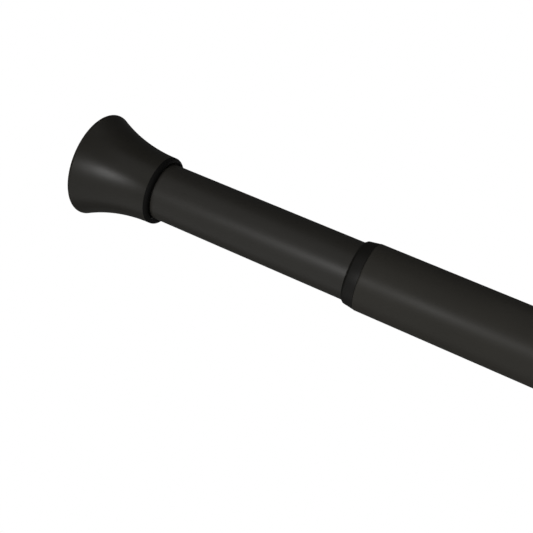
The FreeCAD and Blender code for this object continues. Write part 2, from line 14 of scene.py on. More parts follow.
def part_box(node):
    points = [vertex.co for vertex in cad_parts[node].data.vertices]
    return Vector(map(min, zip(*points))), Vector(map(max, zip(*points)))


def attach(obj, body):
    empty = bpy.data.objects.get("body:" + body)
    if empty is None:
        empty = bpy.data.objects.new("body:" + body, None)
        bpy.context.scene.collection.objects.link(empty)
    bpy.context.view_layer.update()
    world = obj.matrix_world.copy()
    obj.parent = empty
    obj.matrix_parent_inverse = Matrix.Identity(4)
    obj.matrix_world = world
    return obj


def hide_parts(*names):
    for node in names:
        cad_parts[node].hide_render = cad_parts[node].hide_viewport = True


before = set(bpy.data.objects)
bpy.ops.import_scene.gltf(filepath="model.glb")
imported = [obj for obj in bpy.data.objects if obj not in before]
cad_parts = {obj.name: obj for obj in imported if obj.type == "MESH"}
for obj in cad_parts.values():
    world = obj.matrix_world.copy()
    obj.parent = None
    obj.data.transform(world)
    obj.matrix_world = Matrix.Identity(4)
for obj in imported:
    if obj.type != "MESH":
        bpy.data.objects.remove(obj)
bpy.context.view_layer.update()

LOG = logging.getLogger("spring_tension_rod")
MM = 0.001
FULL_TURN = 2 * math.pi
QUARTER_TURN = math.pi / 2

# Sizes in millimetres that the frame's boxes don't give.
TUBE_WALL = 0.8
CRIMP_INSET = 10.0
CRIMP_DEPTH = 0.8
CRIMP_COUNT = 3
KEY_INSET = 10.0
KEY_DEPTH = 1.4
KEY_COUNT = 2
SPIGOT_LENGTH = 6.0
SHANK_LENGTH = 24.0
PAD_OPENING = 18.0
LEDGE_RADIUS = 16.9

# Gaps in millimetres: parts fixed to each other, the collar round the inner tube, and parts that turn.
PRESS_GAP = 0.05
GLIDE_GAP = 0.15
TURN_GAP = 0.3

# Roundings of moulded corners, in millimetres.
CRISP = 0.1
EASED = 0.15
SOFT = 0.2
FULL = 0.3

# Distances in metres within which a mesh's points are merged and its thinnest faces dissolved.
MERGE_DISTANCE = 1e-7
SLIVER_WIDTH = 1e-8

# Share of the white backdrop that mirrored rays see.
GLOSSY_SHARE = 0.05


class Body(Enum):
    """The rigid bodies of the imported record."""

    OUTER = "outer_rod"
    CARRIAGE = "screw_carriage"
    FOOT = "inner_foot"
    INNER = "inner_rod"


class Facing(Enum):
    """Which way a part's own length runs along the rod."""

    FORWARD = 1
    BACK = -1


# Shader groups


# What a node's input takes: a number, a colour or vector, or the socket that feeds it.
Feed = float | tuple[float, ...] | bpy.types.NodeSocket


@dataclass(frozen=True)
class Nodes:
    """A node tree with short ways to add nodes and feed their inputs."""

    tree: bpy.types.NodeTree

    def feed(self, node: bpy.types.Node, inputs: dict[str | int, Feed]) -> None:
        """Set a node's inputs, or join them to the sockets that feed them.

        Args:
            node: The node.
            inputs: What each input takes, by the input's name or number.
        """
        for key, value in inputs.items():
            if isinstance(value, bpy.types.NodeSocket):
                self.tree.links.new(value, node.inputs[key])
            else:
                node.inputs[key].default_value = value

    def add(self, kind: str, inputs: dict[str | int, Feed], **settings: object) -> bpy.types.Node:
        """Add a node, set its properties and feed its inputs.

        Args:
            kind: The node's type, without its ShaderNode beginning.
            inputs: What each input takes, by the input's name or number.
            settings: Properties of the node.

        Returns:
            The new node.
        """
        node = self.tree.nodes.new("ShaderNode" + kind)
        for name, value in settings.items():
            setattr(node, name, value)
        self.feed(node, inputs)
        return node

    def math(self, operation: str, *values: Feed) -> bpy.types.NodeSocket:
        """Add a Math node that takes the values in order, and return its output."""
        return self.add("Math", dict(enumerate(values)), operation=operation).outputs["Value"]


def new_group(
    name: str, inputs: dict[str, float], output: tuple[str, str],
) -> tuple[Nodes, bpy.types.Node, bpy.types.Node]:
    """Start a shader group with number inputs and one output.

    Args:
        name: The group's name.
        inputs: Name and default of each number input.
        output: Name and socket type of the output.

    Returns:
        The group's nodes, its input node and its output node.
    """
    group = bpy.data.node_groups.new(name, "ShaderNodeTree")
    for label, value in inputs.items():
        socket = group.interface.new_socket(label, in_out="INPUT", socket_type="NodeSocketFloat")
        socket.default_value = value
    group.interface.new_socket(output[0], in_out="OUTPUT", socket_type=output[1])
    nodes = Nodes(group)
    return nodes, nodes.tree.nodes.new("NodeGroupInput"), nodes.tree.nodes.new("NodeGroupOutput")


def grain_group() -> bpy.types.NodeTree:
    """Make the fine bumps of a coat or moulding: noise in object space feeds one bump.

    Stretch scales the noise along the rod, so that a low one draws the bumps out into lines.

    Returns:
        The group, which puts out a normal.
    """
    nodes, given, made = new_group(
        "fine_grain",
        {"Scale": 3000.0, "Stretch": 1.0, "Height": 0.00001, "Strength": 0.4},
        ("Normal", "NodeSocketVector"),
    )
    given = given.outputs
    where = nodes.add("TexCoord", {}).outputs["Object"]
    stretch = nodes.add("CombineXYZ", {"X": given["Stretch"], "Y": 1.0, "Z": 1.0})
    scaled = nodes.add("VectorMath", {0: where, 1: stretch.outputs["Vector"]}, operation="MULTIPLY")
    noise = nodes.add("TexNoise", {
        "Vector": scaled.outputs["Vector"], "Scale": given["Scale"], "Detail": 4.0, "Roughness": 0.55,
    })
    bump = nodes.add("Bump", {
        "Strength": given["Strength"], "Distance": given["Height"], "Height": noise.outputs["Fac"],
    })
    nodes.feed(made, {"Normal": bump.outputs["Normal"]})
    return nodes.tree


def drift_group() -> bpy.types.NodeTree:
    """Make a slow drift of a value over a surface.

    The value is middle + 2 spread (noise - 1/2), so it stays within the spread of the middle.

    Returns:
        The group, which puts out the value.
    """
    nodes, given, made = new_group(
        "slow_drift",
        {"Scale": 60.0, "Middle": 0.4, "Spread": 0.04},
        ("Value", "NodeSocketFloat"),
    )
    given = given.outputs
    where = nodes.add("TexCoord", {}).outputs["Object"]
    noise = nodes.add("TexNoise", {"Vector": where, "Scale": given["Scale"], "Detail": 3.0})
    centred = nodes.math("SUBTRACT", noise.outputs["Fac"], 0.5)
    swing = nodes.math("MULTIPLY", centred, given["Spread"])
    nodes.feed(made, {"Value": nodes.math("MULTIPLY_ADD", swing, 2.0, given["Middle"])})
    return nodes.tree


# Finishes


@dataclass(frozen=True)
class Finish:
    """One finish of the rod, as the numbers of its shader."""

    name: str
    slot: str
    colour: tuple[float, float, float]
    roughness: float
    roughness_spread: float = 0.04
    colour_spread: float = 0.08
    drift_scale: float = 60.0
    metallic: float = 0.0
    specular: float = 0.25
    grain_scale: float = 3000.0
    grain_stretch: float = 1.0
    grain_height: float = 0.00001
    grain_strength: float = 0.3

    def build(self, groups: dict[str, bpy.types.NodeTree]) -> bpy.types.Material:
        """Make the material from the shared shader groups.

        Args:
            groups: The groups by name: fine_grain and slow_drift.

        Returns:
            The new material.
        """
        material = bpy.data.materials.new(self.name)
        material.use_nodes = True
        nodes = Nodes(material.node_tree)
        bumps = nodes.add("Group", {
            "Scale": self.grain_scale,
            "Stretch": self.grain_stretch,
            "Height": self.grain_height,
            "Strength": self.grain_strength,
        }, node_tree=groups["fine_grain"])
        rough = self.drift(nodes, groups["slow_drift"], self.roughness, self.roughness_spread)
        shade = self.drift(nodes, groups["slow_drift"], 1.0, self.colour_spread)
        tint = nodes.add("VectorMath", {0: self.colour, "Scale": shade}, operation="SCALE")
        nodes.feed(nodes.tree.nodes["Principled BSDF"], {
            "Base Color": tint.outputs["Vector"],
            "Roughness": rough,
            "Metallic": self.metallic,
            "Specular IOR Level": self.specular,
            "Normal": bumps.outputs["Normal"],
        })
        material.diffuse_color = (*self.colour, 1.0)
        return material

    def drift(
        self, nodes: Nodes, group: bpy.types.NodeTree, middle: float, spread: float,
    ) -> bpy.types.NodeSocket:
        """Return the socket of a value that drifts slowly, by at most the spread, about its middle."""
        inputs = {"Scale": self.drift_scale, "Middle": middle, "Spread": spread}
        return nodes.add("Group", inputs, node_tree=group).outputs["Value"]


CAP_COLOUR = (0.0234, 0.0218, 0.0180)
OUTER_COAT = Finish("outer_tube_coat", "tube_coat", (0.0386, 0.0363, 0.0309), 0.42, specular=0.12)
INNER_COAT = Finish("inner_tube_coat", "tube_coat", (0.0276, 0.0259, 0.0221), 0.42, specular=0.27)
CAP_MOULDING = Finish("cap_moulding", "cap_plastic", CAP_COLOUR, 0.36, specular=0.23, grain_scale=2200.0)
DULL_RIM = Finish("dull_rim", "cap_plastic", CAP_COLOUR, 0.6, specular=0.15, grain_scale=2200.0)
# Painted shade: the end of each cap's neck is coloured near black. This stands in for the shade where the
# neck turns away from the lamps and meets the tube.
PAINTED_SHADE_NECK = Finish(
    "painted_shade_neck", "cap_plastic", (0.0052, 0.0050, 0.0046), 0.75, specular=0.1, grain_scale=2200.0,
)
COLLAR_MOULDING = Finish(
    "collar_moulding", "collar_plastic", (0.0098, 0.0093, 0.0080), 0.46, specular=0.18,
)
PAD_RUBBER = Finish("pad_rubber", "pad_rubber", (0.012, 0.012, 0.012), 0.75, grain_strength=0.5)
PLUG_MOULDING = Finish("plug_moulding", "plug_plastic", (0.016, 0.016, 0.016), 0.5)
DRIVE_MOULDING = Finish(
    "drive_moulding", "drive_plastic", (0.62, 0.6, 0.54), 0.38, colour_spread=0.04, specular=0.5,
)
ZINC = Finish(
    "zinc_steel", "fastener_steel", (0.56, 0.56, 0.57), 0.3,
    metallic=1.0, specular=0.5, grain_scale=1500.0, grain_stretch=0.2,
)
SPRING_STEEL = Finish("spring_steel", "spring_steel", (0.33, 0.33, 0.34), 0.28, metallic=1.0, specular=0.5)
FINISHES = (
    OUTER_COAT, INNER_COAT, CAP_MOULDING, DULL_RIM, PAINTED_SHADE_NECK, COLLAR_MOULDING, PAD_RUBBER,
    PLUG_MOULDING, DRIVE_MOULDING, ZINC, SPRING_STEEL,
)


# Places from the frame


@dataclass(frozen=True)
class Span:
    """Where a CAD node starts and ends along the rod and how far out it reaches, in millimetres."""

    start: float
    end: float
    reach: float

    @classmethod
    def of(cls, node: str) -> "Span":
        """Return the span of a CAD node at rest."""
        low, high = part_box(node)
        return cls(low.x / MM, high.x / MM, high.z / MM)

    @property
    def length(self) -> float:
        """Return the node's length along the rod."""
        return self.end - self.start

    def zero(self, facing: Facing) -> float:
        """Return where the own zero of a part lies: at its start, or at its end if it faces back."""
        return self.start if facing is Facing.FORWARD else self.end


def tube_radius(node: str) -> float:
    """Return a tube's outside radius in millimetres, to a tenth."""
    return round(Span.of(node).reach, 1)


# Surfaces


@dataclass(frozen=True)
class Corner:
    """A corner of an outline: its place along and out from the axis, and its rounding, in millimetres."""

    along: float
    out: float
    rounding: float = 0.0


def rounded(corners: Sequence[Corner], steps: int = 5) -> np.ndarray:
    """Round the corners of a closed outline.

    Each rounded corner becomes an arc that touches both of its edges: the touching points lie
    rounding / tan(half the corner's angle) from the corner, and the arc's points are found by
    turning from one touching point to the other about the centre.

    Args:
        corners: The outline's corners in order.
        steps: Points on each rounded corner.

    Returns:
        An array of (along, out) points.
    """
    places = np.array([(c.along, c.out) for c in corners])
    points = []
    for index, corner in enumerate(corners):
        here = places[index]
        before = places[index - 1] - here
        after = places[(index + 1) % len(corners)] - here
        if not corner.rounding:
            points.append(here[None])
            continue
        before, after = before / np.linalg.norm(before), after / np.linalg.norm(after)
        half = math.acos(float(np.clip(before @ after, -1, 1))) / 2
        reach = corner.rounding / math.tan(half)
        middle = (before + after) / np.linalg.norm(before + after)
        centre = here + middle * (corner.rounding / math.sin(half))
        turn = np.linspace(0, 1, steps)[:, None]
        start, end = here + before * reach - centre, here + after * reach - centre
        sweep = math.pi - 2 * half
        weights = np.sin((1 - turn) * sweep) / math.sin(sweep), np.sin(turn * sweep) / math.sin(sweep)
        points.append(centre + weights[0] * start + weights[1] * end)
    return np.concatenate(points)


def around(sectors: int) -> np.ndarray:
    """Return angles spread evenly over a full turn."""
    return np.linspace(0, FULL_TURN, sectors, endpoint=False)


def ring_faces(rings: int, sectors: int, closed: bool) -> np.ndarray:
    """Join neighbouring rings of points with four-cornered faces.

    Args:
        rings: How many rings there are.
        sectors: Points on each ring.
        closed: Whether the last ring joins the first.

    Returns:
        The corner indices, one row for each face.
    """
    index = np.arange(rings * sectors).reshape(rings, sectors)
    if closed:
        index = np.vstack([index, index[:1]])
    right = np.roll(index, -1, axis=1)
    return np.stack([index[:-1], right[:-1], right[1:], index[1:]], axis=-1).reshape(-1, 4)


@dataclass(frozen=True)
class Surface:
    """A surface as whole arrays: points in metres, and four corner indices for each face."""

    points: np.ndarray
    faces: np.ndarray

    def joined(self, other: "Surface") -> "Surface":
        """Return this surface and another as one, the other's points and faces last."""
        faces = np.concatenate([self.faces, other.faces + len(self.points)])
        return Surface(np.concatenate([self.points, other.points]), faces)

    def build(self, name: str) -> bpy.types.Object:
        """Make a smooth object at the origin, with doubles merged and faces outwards.

        Args:
            name: The object's name.

        Returns:
            The new object.
        """
        mesh = bpy.data.meshes.new(name)
        mesh.vertices.add(len(self.points))
        mesh.vertices.foreach_set("co", self.points.astype(np.float32).ravel())
        mesh.loops.add(self.faces.size)
        mesh.loops.foreach_set("vertex_index", self.faces.astype(np.int32).ravel())
        mesh.polygons.add(len(self.faces))
        starts = np.arange(0, self.faces.size, self.faces.shape[1], dtype=np.int32)
        mesh.polygons.foreach_set("loop_start", starts)
        mesh.update(calc_edges=True)
        shape = bmesh.new()
        shape.from_mesh(mesh)
        bmesh.ops.remove_doubles(shape, verts=shape.verts, dist=MERGE_DISTANCE)
        bmesh.ops.dissolve_degenerate(shape, edges=shape.edges, dist=SLIVER_WIDTH)
        bmesh.ops.recalc_face_normals(shape, faces=shape.faces)
        shape.to_mesh(mesh)
        shape.free()
        mesh.polygons.foreach_set("use_smooth", np.ones(len(mesh.polygons), bool))
        thing = bpy.data.objects.new(name, mesh)
        bpy.context.scene.collection.objects.link(thing)
        return thing


@dataclass(frozen=True)
class Rings:
    """A stack of rings round the rod, in millimetres.

    along holds the place of each ring, and out the distance from the axis of each of its points,
    rings by sectors. A closed stack joins its last ring to its first, as a tube's section does.
    An open one ends in points on the axis.
    """

    along: np.ndarray
    out: np.ndarray
    closed: bool = True

    @classmethod
    def turned(cls, outline: np.ndarray, sectors: int, closed: bool = True) -> "Rings":
        """Turn an outline of (along, out) rows round the axis, with a ring for each of its points."""
        return cls(outline[:, 0], np.repeat(outline[:, 1:], sectors, axis=1), closed)

    @classmethod
    def stacked(cls, parts: Sequence["Rings"], closed: bool = True) -> "Rings":
        """Put stacks of rings with equal sectors one after another, as one stack."""
        along = np.concatenate([part.along for part in parts])
        return cls(along, np.concatenate([part.out for part in parts]), closed)

    def surface(self, station: float, facing: Facing = Facing.FORWARD) -> Surface:
        """Place the rings on the rod.

        A point at angle a from +Z, turning from +Z to -Y, lies at y = -out sin a, z = out cos a.
        A part that faces back has its length and its side mirrored, which is a half turn about Z.

        Args:
            station: Where the part's own zero lies along the rod, in millimetres.
            facing: Which way the part's length runs.

        Returns:
            The surface in place.
        """
        angle = around(self.out.shape[1])
        side = facing.value
        points = np.stack([
            np.broadcast_to(station + side * self.along[:, None], self.out.shape),
            -side * self.out * np.sin(angle),
            self.out * np.cos(angle),
        ], axis=-1)
        return Surface(points.reshape(-1, 3) * MM, ring_faces(*self.out.shape, self.closed))


# Parts


@dataclass(frozen=True)
class Band:
    """A stretch along the rod where a part wears another finish, in millimetres."""

    finish: Finish
    low: float
    high: float

    def dress(self, mesh: bpy.types.Mesh, materials: dict[str, bpy.types.Material]) -> None:
        """Give the band's finish to the faces whose middles lie between its low and high places.

        Args:
            mesh: The part's mesh, which already wears its main finish.
            materials: Built materials by name.
        """
        middles = np.empty(3 * len(mesh.polygons), np.float32)
        mesh.polygons.foreach_get("center", middles)
        along = middles[::3] / MM
        inside = (along > self.low) & (along < self.high)
        worn = np.empty(len(mesh.polygons), np.int32)
        mesh.polygons.foreach_get("material_index", worn)
        worn[inside] = len(mesh.materials)
        mesh.materials.append(materials[self.finish.name])
        mesh.polygons.foreach_set("material_index", worn)


@dataclass(frozen=True)
class Part(ABC):
    """A part of the rod that is built here and stands for a CAD node."""

    node: str
    body: Body
    finish: Finish

    @abstractmethod
    def surface(self) -> Surface:
        """Work out the part's surface, in place on the rod."""

    def bands(self) -> tuple[Band, ...]:
        """Return the stretches that wear another finish."""
        return ()

    def build(self, materials: dict[str, bpy.types.Material]) -> None:
        """Make the object, give it its finishes and tie it to its body.

        Args:
            materials: Built materials by name.
        """
        thing = self.surface().build(self.node + "_finished")
        thing.data.materials.append(materials[self.finish.name])
        for band in self.bands():
            band.dress(thing.data, materials)
        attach(thing, self.body.value)
        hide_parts(self.node)
        LOG.info("%s: built with %d faces", self.node, len(thing.data.polygons))


@dataclass(frozen=True)
class PlainNode:
    """A CAD node that keeps its own shape and gets a finish."""

    node: str
    finish: Finish

    def build(self, materials: dict[str, bpy.types.Material]) -> None:
        """Give the node its finish.

        Args:
            materials: Built materials by name.
        """
        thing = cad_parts[self.node]
        thing.data.materials.clear()
        thing.data.materials.append(materials[self.finish.name])
        LOG.info("%s: dressed in %s", self.node, self.finish.name)


# Tubes


@dataclass(frozen=True)
class Dimples:
    """A ring of dimples that a ball pressed into a tube, in millimetres."""

    station: float
    depth: float
    count: int
    ball: float = 2.4
    reach: float = 3.6
    rings: int = 25

    def places(self) -> np.ndarray:
        """Return the places of the tube's finer rings at the dimples."""
        return self.station + np.linspace(-self.reach, self.reach, self.rings)

    def pressed(self, along: np.ndarray, angle: np.ndarray, skin: float, below: float) -> np.ndarray:
        """Push a round surface of the tube in where the ball stands.

        The ball's middle lies at a distance m from the axis. A ray out from the axis, at angle f
        from the dimple and a along the tube from it, meets the ball at
        m cos f - sqrt(ball^2 - a^2 - m^2 sin^2 f), and the surface keeps the smaller of that and
        its own radius. A surface below the skin meets a ball that is larger by as much.

        Args:
            along: Place of each point along the tube.
            angle: Angle of each point round the tube.
            skin: Outside radius of the tube.
            below: How far the surface lies below the skin.

        Returns:
            The radius at each point.
        """
        middle = skin + self.ball - self.depth
        radius, ball = skin - below, self.ball + below
        step = FULL_TURN / self.count
        turn = (angle + step / 2) % step - step / 2
        inside = ball ** 2 - (along - self.station) ** 2 - (middle * np.sin(turn)) ** 2
        met = middle * np.cos(turn) - np.sqrt(np.maximum(inside, 0))
        return np.where((inside > 0) & (np.cos(turn) > 0), np.minimum(radius, met), radius)


@dataclass(frozen=True)
class CoatedTube(Part):
    """A coated tube with dimples, its cut ends slightly rounded."""

    dimples: tuple[Dimples, ...]
    rounding: float = 0.3
    sectors: int = 216
    edge_steps: int = 5
    plain_rings: int = 9
    plain_inset: float = 1.0

    def cut_edge(self, skin: float) -> np.ndarray:
        """Outline a cut end from its rounded outer edge to its inner edge.

        The rounding is a quarter circle: at an angle t on it a point lies rounding (1 - sin t)
        from the end and rounding (1 - cos t) below the tube's skin.

        Args:
            skin: Outside radius of the tube.

        Returns:
            An array of (way in from the end, radius) points.
        """
        turn = np.linspace(0, QUARTER_TURN, self.edge_steps)[1:]
        outer = np.stack([
            self.rounding * (1 - np.sin(turn)),
            skin - self.rounding * (1 - np.cos(turn)),
        ], axis=1)
        return np.concatenate([outer, [[0.0, skin - TUBE_WALL + self.rounding / 2]]])

    def surface(self) -> Surface:
        """Work out the tube as one closed stack of rings: outside, end, inside and other end.

        Returns:
            The surface in place.
        """
        place, skin = Span.of(self.node), tube_radius(self.node)
        windows = [ring.places() for ring in self.dimples]
        ends = [self.rounding, place.length - self.rounding]
        plain = np.linspace(self.plain_inset, place.length - self.plain_inset, self.plain_rings)
        along = np.unique(np.concatenate([*windows, ends, plain]))
        angle = around(self.sectors)
        outside = np.full((len(along), self.sectors), skin)
        inside = outside - TUBE_WALL
        for ring in self.dimples:
            outside = np.minimum(outside, ring.pressed(along[:, None], angle, skin, 0.0))
            inside = np.minimum(inside, ring.pressed(along[:, None], angle, skin, TUBE_WALL))
        first = self.cut_edge(skin)[::-1]
        last = first[::-1] * [-1, 1] + [place.length, 0]
        return Rings.stacked([
            Rings(along, outside),
            Rings.turned(last, self.sectors),
            Rings(along[::-1], inside[::-1]),
            Rings.turned(first, self.sectors),
        ]).surface(place.start)


@dataclass(frozen=True)
class Collar(Part):
    """The collar in the end of the outer tube: a sleeve inside it and a tapered ring in front."""

    node: str = "tube_collar"
    body: Body = Body.OUTER
    finish: Finish = COLLAR_MOULDING
    insert: float = 18.0
    length: float = 5.0
    back_radius: float = 12.6
    taper_length: float = 4.2
    taper_radius: float = 11.93
    taper_rounding: float = 0.5
    face_radius: float = 11.3
    edge_rounding: float = 0.12
    bore_rounding: float = 0.08
    sectors: int = 192

    def surface(self) -> Surface:
        """Turn the collar's outline, whose zero is the end of the outer tube.

        Returns:
            The surface in place.
        """
        bore = tube_radius("inner_tube") + GLIDE_GAP
        sleeve = tube_radius("outer_tube") - TUBE_WALL - PRESS_GAP
        outline = rounded([
            Corner(-self.insert, bore, CRISP),
            Corner(-self.insert, sleeve, SOFT),
            Corner(0.0, sleeve),
            Corner(0.0, self.back_radius, self.edge_rounding),
            Corner(self.taper_length, self.taper_radius, self.taper_rounding),
            Corner(self.length, self.face_radius, self.edge_rounding),
            Corner(self.length, bore, self.bore_rounding),
        ])
        return Rings.turned(outline, self.sectors).surface(Span.of("outer_tube").end)


# Feet


@dataclass(frozen=True)
class EndCap(Part):
    """A flared end cap, turned as one outline, with the ribs behind its wall pad.

    Its own zero is the rim's face. support is how far a ring stands behind the lip, to keep the
    lip's shading off the flare. The end of the neck is coloured near black over a given length, as painted
    shade.
    """

    facing: Facing
    neck: float
    bore: float
    hole: float
    floor_gap: float
    rim: float = 20.2
    rim_face: float = 19.3
    lip: float = 1.5
    lip_rounding: float = 1.2
    support: float = 0.06
    neck_rounding: float = 1.4
    # Length of the neck's end that is coloured near black as painted shade.
    painted_shade_neck: float = 1.75
    mouth_rounding: float = 0.25
    ledge: float = 2.0
    skin: float = 1.8
    sleeve_wall: float = 1.6
    cavity: float = 14.0
    floor: float = 13.0
    bulkhead: float = 3.0
    ribs: int = 6
    rib_wall: float = 1.4
    rib_setback: float = 1.3
    rib_bite: float = 0.2
    sectors: int = 192
    lip_steps: int = 9
    flare_steps: int = 28
    neck_steps: int = 12

    def flare(self, along: np.ndarray | float, length: float) -> np.ndarray | float:
        """Work out the radius of the flare, an arc that leaves the neck in line with the rod.

        With run a and rise b from neck to rim, the arc's radius is (a^2 + b^2) / 2b, and at a
        distance d from the neck the surface has risen by that radius less sqrt(radius^2 - d^2).

        Args:
            along: Place or places behind the rim's face.
            length: Length of the cap.

        Returns:
            The flare's radius at each place.
        """
        run = length - self.neck_rounding - self.lip
        rise = self.rim - self.neck
        radius = (run ** 2 + rise ** 2) / (2 * rise)
        return self.neck + radius - np.sqrt(radius ** 2 - (length - self.neck_rounding - along) ** 2)

    def lip_arc(self) -> np.ndarray:
        """Work out the lip between the rim's face and its widest circle.

        The lip is an arc through both. Its middle lies on the inner side of their chord, at a
        distance of the square root of the arc's radius squared less half the chord squared.

        Returns:
            An array of (along, out) points.
        """
        start, end = np.array([0, self.rim_face]), np.array([self.lip, self.rim])
        chord = end - start
        half = np.linalg.norm(chord) / 2
        inward = np.array([chord[1], -chord[0]]) / (2 * half)
        middle = (start + end) / 2 + inward * math.sqrt(self.lip_rounding ** 2 - half ** 2)
        first, last = (math.atan2(*(point - middle)[::-1]) for point in (start, end))
        turn = np.linspace(first, last, self.lip_steps)[1:-1]
        return middle + self.lip_rounding * np.stack([np.cos(turn), np.sin(turn)], axis=1)

    def outside(self, length: float) -> np.ndarray:
        """Outline the cap from the rim's face over the lip and the flare to the end of the neck.

        The neck ends in a quarter circle about a point that lies its radius in from both edges.

        Args:
            length: Length of the cap.

        Returns:
            An array of (along, out) points.
        """
        face = np.array([[0, self.rim_face]])
        run = np.linspace(self.lip, length - self.neck_rounding, self.flare_steps)
        # A ring stands where the painted shade on the neck's end begins.
        run = np.insert(run, [1, -1], [self.lip + self.support, length - self.painted_shade_neck])
        flare = np.stack([run, self.flare(run, length)], axis=1)
        turn = np.linspace(0, QUARTER_TURN, self.neck_steps)[1:]
        neck = np.stack([
            length - self.neck_rounding + self.neck_rounding * np.sin(turn),
            self.neck - self.neck_rounding + self.neck_rounding * np.cos(turn),
        ], axis=1)
        return np.concatenate([face, self.lip_arc(), flare, neck])

    def inside(self, length: float) -> np.ndarray:
        """Outline the cap from the tube's bore through bulkhead and cavity to the pad's opening.

        Args:
            length: Length of the cap.

        Returns:
            An array of (along, out) points.
        """
        floor = self.floor - self.floor_gap
        sleeve = self.bore + self.sleeve_wall
        return rounded([
            Corner(length, self.bore, self.mouth_rounding),
            Corner(floor, self.bore, CRISP),
            Corner(floor, self.hole, CRISP),
            Corner(floor - self.bulkhead, self.hole, CRISP),
            Corner(floor - self.bulkhead, self.bore, SOFT),
            Corner(self.ledge, self.bore, EASED),
            Corner(self.ledge, sleeve, EASED),
            Corner(self.cavity, sleeve, FULL),
            Corner(self.cavity, float(self.flare(self.cavity, length)) - self.skin, FULL),
            Corner(self.ledge, LEDGE_RADIUS, EASED),
            Corner(self.ledge, PAD_OPENING, CRISP),
            Corner(0, PAD_OPENING, SOFT),
        ])

    def rib_blocks(self, length: float, station: float) -> Surface:
        """Work out the ribs, each a thin wedge whose edges bite into the walls beside it.

        A wedge's section lies in a plane through the axis, once on each side of the rib's wall,
        and is turned to the rib's angle. Its outer edge follows the straight wall of the cavity.

        Args:
            length: Length of the cap.
            station: Where the rim's face stands along the rod.

        Returns:
            The ribs in place.
        """
        bottom = self.bore + self.sleeve_wall - self.rib_bite
        skin = float(self.flare(self.cavity, length)) - self.skin
        slope = (LEDGE_RADIUS - skin) / (self.cavity - self.ledge)
        start, end = self.ledge + self.rib_setback, self.cavity + self.rib_bite
        section = np.array([
            (start, bottom),
            (start, LEDGE_RADIUS - slope * self.rib_setback + self.rib_bite),
            (end, skin + self.rib_bite),
            (end, bottom),
        ])
        along, out = np.tile(section, (2, 1)).T
        across = np.repeat([-self.rib_wall / 2, self.rib_wall / 2], len(section))
        angle = around(self.ribs)[:, None]
        blocks = np.stack([
            np.broadcast_to(along, (self.ribs, len(along))),
            across * np.cos(angle) - out * np.sin(angle),
            across * np.sin(angle) + out * np.cos(angle),
        ], axis=-1).reshape(-1, 3)
        block_faces = np.array([
            (0, 1, 2, 3), (4, 7, 6, 5), (0, 4, 5, 1),
            (1, 5, 6, 2), (2, 6, 7, 3), (3, 7, 4, 0),
        ])
        first_corners = len(along) * np.arange(self.ribs)[:, None, None]
        side = self.facing.value
        points = (blocks * [side, side, 1] + [station, 0, 0]) * MM
        return Surface(points, (block_faces + first_corners).reshape(-1, 4))

    def surface(self) -> Surface:
        """Turn the outline and add the ribs.

        Returns:
            The surface in place.
        """
        place = Span.of(self.node)
        station = place.zero(self.facing)
        outline = np.concatenate([self.outside(place.length), self.inside(place.length)])
        shell = Rings.turned(outline, self.sectors).surface(station, self.facing)
        return shell.joined(self.rib_blocks(place.length, station))

    def bands(self) -> tuple[Band, ...]:
        """Return the duller lip, and the end of the neck with its painted shade.

        Returns:
            The two bands.
        """
        place = Span.of(self.node)
        # The band at the neck's end is painted shade, not a bare moulding.
        if self.facing is Facing.FORWARD:
            rim = Band(DULL_RIM, place.start, place.start + self.lip)
            return rim, Band(PAINTED_SHADE_NECK, place.end - self.painted_shade_neck, place.end)
        rim = Band(DULL_RIM, place.end - self.lip, place.end)
        return rim, Band(PAINTED_SHADE_NECK, place.start, place.start + self.painted_shade_neck)


@dataclass(frozen=True)
class WallPad(Part):
    """A rubber wall pad: flat middle, grip grooves, rounded edge and locating skirt.

    Its own zero is the face that stands on the wall.
    """

    facing: Facing
    thickness: float = 2.8
    opening_gap: float = 0.1
    edge_rounding: float = 0.6
    grooves: int = 3
    groove_pitch: float = 4.0
    groove_width: float = 1.2
    groove_depth: float = 0.6
    skirt_wall: float = 1.1
    skirt_depth: float = 1.0
    sectors: int = 144

    def groove(self, middle: float) -> tuple[Corner, ...]:
        """Outline a grip groove.

        Args:
            middle: Radius of the groove's middle.

        Returns:
            Its four corners, from the axis outwards.
        """
        near, far = middle - self.groove_width / 2, middle + self.groove_width / 2
        places = ((0.0, near), (self.groove_depth, near), (self.groove_depth, far), (0.0, far))
        return tuple(Corner(along, out, EASED) for along, out in places)

    def surface(self) -> Surface:
        """Turn the pad's outline from the middle of its face to the middle of its back.

        Returns:
            The surface in place.
        """
        edge = PAD_OPENING - self.opening_gap
        skirt = LEDGE_RADIUS - TURN_GAP
        skirt_end = self.thickness + self.skirt_depth
        grooves = [self.groove(self.groove_pitch * (ring + 1)) for ring in range(self.grooves)]
        outline = rounded([
            Corner(0.0, 0.0),
            *(corner for groove in grooves for corner in groove),
            Corner(0.0, edge, self.edge_rounding),
            Corner(self.thickness, edge, CRISP),
            Corner(self.thickness, skirt),
            Corner(skirt_end, skirt, EASED),
            Corner(skirt_end, skirt - self.skirt_wall, EASED),
            Corner(self.thickness, skirt - self.skirt_wall),
            Corner(self.thickness, 0.0),
        ])
        station = Span.of(self.node).zero(self.facing)
        return Rings.turned(outline, self.sectors, closed=False).surface(station, self.facing)


# Drive


